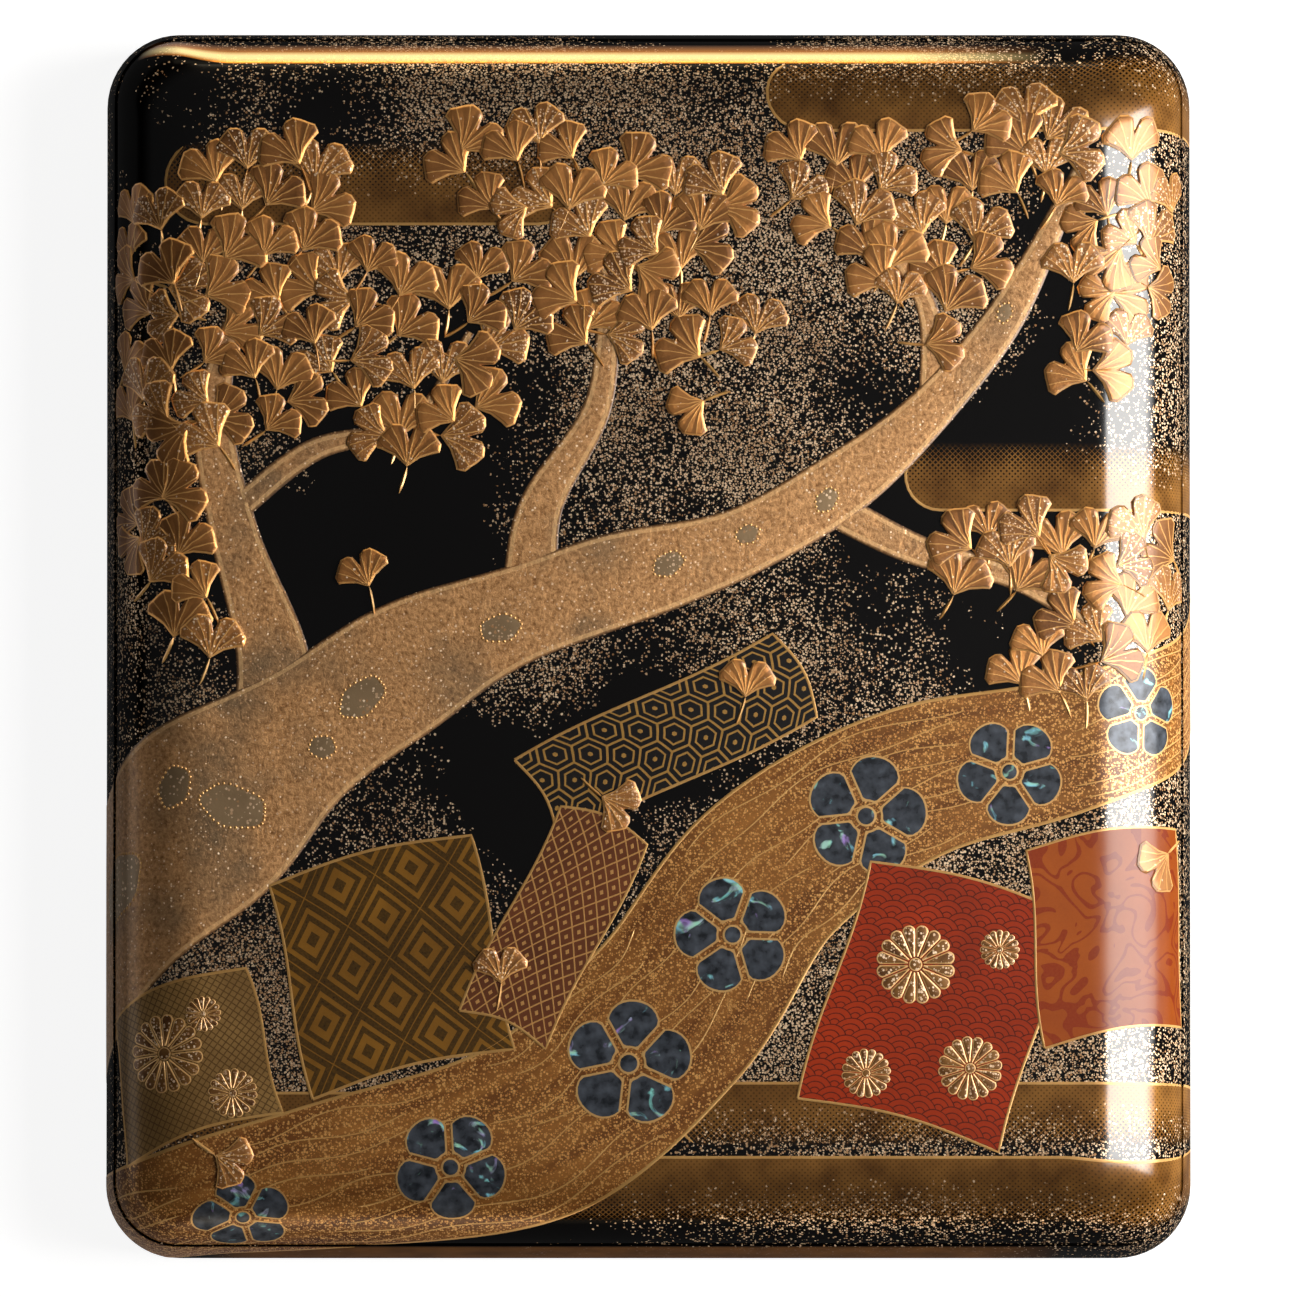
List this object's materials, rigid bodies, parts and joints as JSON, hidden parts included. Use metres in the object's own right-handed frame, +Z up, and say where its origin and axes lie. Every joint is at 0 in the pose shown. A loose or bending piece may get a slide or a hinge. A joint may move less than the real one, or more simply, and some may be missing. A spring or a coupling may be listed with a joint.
{
  "type": "writing box",
  "caption": "Lacquered box with an overlapping rounded lid, holding an ink stone, water dropper, brushes, knife, awl and ink in trays.",
  "frame": {"origin": "middle of the underside", "axes": "+X to the right and +Y away across the lid as the picture shows it, +Z up through the lid"},
  "size_m": [0.2208, 0.2494, 0.0454],
  "materials": {
    "decorated_lacquer": "glossy black lacquer on wood with raised gold, colour and shell decoration",
    "sprinkled_lacquer": "glossy black lacquer on wood, sprinkled with gold",
    "tool_lacquer": "glossy lacquer on turned or shaped wood",
    "slate": "honed dark slate",
    "dropper_metal": "satin silvered copper alloy",
    "gilt_metal": "polished gilt copper alloy",
    "steel": "fine ground steel",
    "hair": "soft animal hair",
    "ink": "pressed soot and glue, satin"
  },
  "bodies": {
    "base": {"base_box": "decorated_lacquer"},
    "lid": {"lid": "decorated_lacquer"},
    "board": {"inkstone_board": "sprinkled_lacquer"},
    "ink_stone": {"inkstone": "slate"},
    "water_dropper": {"dropper_bowl": "dropper_metal", "dropper_top": "dropper_metal", "dropper_spout": "dropper_metal", "dropper_air_ring": "dropper_metal"},
    "left_tray": {"brush_tray": "sprinkled_lacquer", "brush_rest_far": "sprinkled_lacquer", "brush_rest_near": "sprinkled_lacquer"},
    "right_tray": {"tool_tray": "sprinkled_lacquer", "tool_rest_far": "sprinkled_lacquer", "tool_rest_near": "sprinkled_lacquer"},
    "brush_1": {"brush_1_knob": "gilt_metal", "brush_1_handle": "tool_lacquer", "brush_1_collar": "gilt_metal", "brush_1_hair": "hair"},
    "brush_1_cap": {"brush_1_cap": "tool_lacquer"},
    "brush_2": {"brush_2_knob": "gilt_metal", "brush_2_handle": "tool_lacquer", "brush_2_collar": "gilt_metal", "brush_2_hair": "hair"},
    "brush_2_cap": {"brush_2_cap": "tool_lacquer"},
    "knife": {"knife_handle": "tool_lacquer", "knife_collar": "gilt_metal", "knife_blade": "steel"},
    "knife_sheath": {"knife_sheath": "tool_lacquer"},
    "awl": {"awl_handle": "tool_lacquer", "awl_collar": "gilt_metal", "awl_spike": "steel"},
    "awl_sheath": {"awl_sheath": "tool_lacquer"},
    "ink_holder": {"ink_holder": "tool_lacquer", "ink_holder_band": "gilt_metal"},
    "ink_stick": {"ink_stick": "ink"}
  },
  "joints": [
    {"name": "lid_lift", "type": "slide", "parent": "base", "child": "lid", "axis": [0, 0, 1], "range_m": [0, 0.16]},
    {"name": "board_lift", "type": "slide", "parent": "base", "child": "board", "axis": [0, 0, 1], "range_m": [0, 0.033]},
    {"name": "left_tray_lift", "type": "slide", "parent": "base", "child": "left_tray", "axis": [0, 0, 1], "range_m": [0, 0.041]},
    {"name": "right_tray_lift", "type": "slide", "parent": "base", "child": "right_tray", "axis": [0, 0, 1], "range_m": [0, 0.041]},
    {"name": "ink_stone_lift", "type": "slide", "parent": "base", "child": "ink_stone", "axis": [0, 0, 1], "range_m": [0, 0.049]},
    {"name": "water_dropper_lift", "type": "slide", "parent": "base", "child": "water_dropper", "axis": [0, 0, 1], "range_m": [0, 0.0682]},
    {"name": "brush_1_lift", "type": "slide", "parent": "base", "child": "brush_1", "axis": [0, 0, 1], "range_m": [0, 0.081]},
    {"name": "brush_2_lift", "type": "slide", "parent": "base", "child": "brush_2", "axis": [0, 0, 1], "range_m": [0, 0.081]},
    {"name": "knife_lift", "type": "slide", "parent": "base", "child": "knife", "axis": [0, 0, 1], "range_m": [0, 0.081]},
    {"name": "awl_lift", "type": "slide", "parent": "base", "child": "awl", "axis": [0, 0, 1], "range_m": [0, 0.081]},
    {"name": "ink_holder_lift", "type": "slide", "parent": "base", "child": "ink_holder", "axis": [0, 0, 1], "range_m": [0, 0.081]},
    {"name": "brush_1_cap_pull", "type": "slide", "parent": "brush_1", "child": "brush_1_cap", "axis": [0, 1, 0], "range_m": [0, 0.057]},
    {"name": "brush_2_cap_pull", "type": "slide", "parent": "brush_2", "child": "brush_2_cap", "axis": [0, 1, 0], "range_m": [0, 0.057]},
    {"name": "knife_sheath_pull", "type": "slide", "parent": "knife", "child": "knife_sheath", "axis": [0, 1, 0], "range_m": [0, 0.057]},
    {"name": "awl_sheath_pull", "type": "slide", "parent": "awl", "child": "awl_sheath", "axis": [0, 1, 0], "range_m": [0, 0.057]},
    {"name": "ink_stick_pull", "type": "slide", "parent": "ink_holder", "child": "ink_stick", "axis": [0, 1, 0], "range_m": [0, 0.049]}
  ],
  "couplings": [
    {"joint": "board_lift", "follows": "lid_lift", "ratio": 0.2},
    {"joint": "left_tray_lift", "follows": "lid_lift", "ratio": 0.25},
    {"joint": "right_tray_lift", "follows": "lid_lift", "ratio": 0.25},
    {"joint": "ink_stone_lift", "follows": "lid_lift", "ratio": 0.3},
    {"joint": "water_dropper_lift", "follows": "lid_lift", "ratio": 0.42},
    {"joint": "brush_1_lift", "follows": "lid_lift", "ratio": 0.5},
    {"joint": "brush_2_lift", "follows": "lid_lift", "ratio": 0.5},
    {"joint": "knife_lift", "follows": "lid_lift", "ratio": 0.5},
    {"joint": "awl_lift", "follows": "lid_lift", "ratio": 0.5},
    {"joint": "ink_holder_lift", "follows": "lid_lift", "ratio": 0.5},
    {"joint": "brush_1_cap_pull", "follows": "lid_lift", "ratio": 0.35},
    {"joint": "brush_2_cap_pull", "follows": "lid_lift", "ratio": 0.35},
    {"joint": "knife_sheath_pull", "follows": "lid_lift", "ratio": 0.35},
    {"joint": "awl_sheath_pull", "follows": "lid_lift", "ratio": 0.35},
    {"joint": "ink_stick_pull", "follows": "lid_lift", "ratio": 0.3}
  ]
}
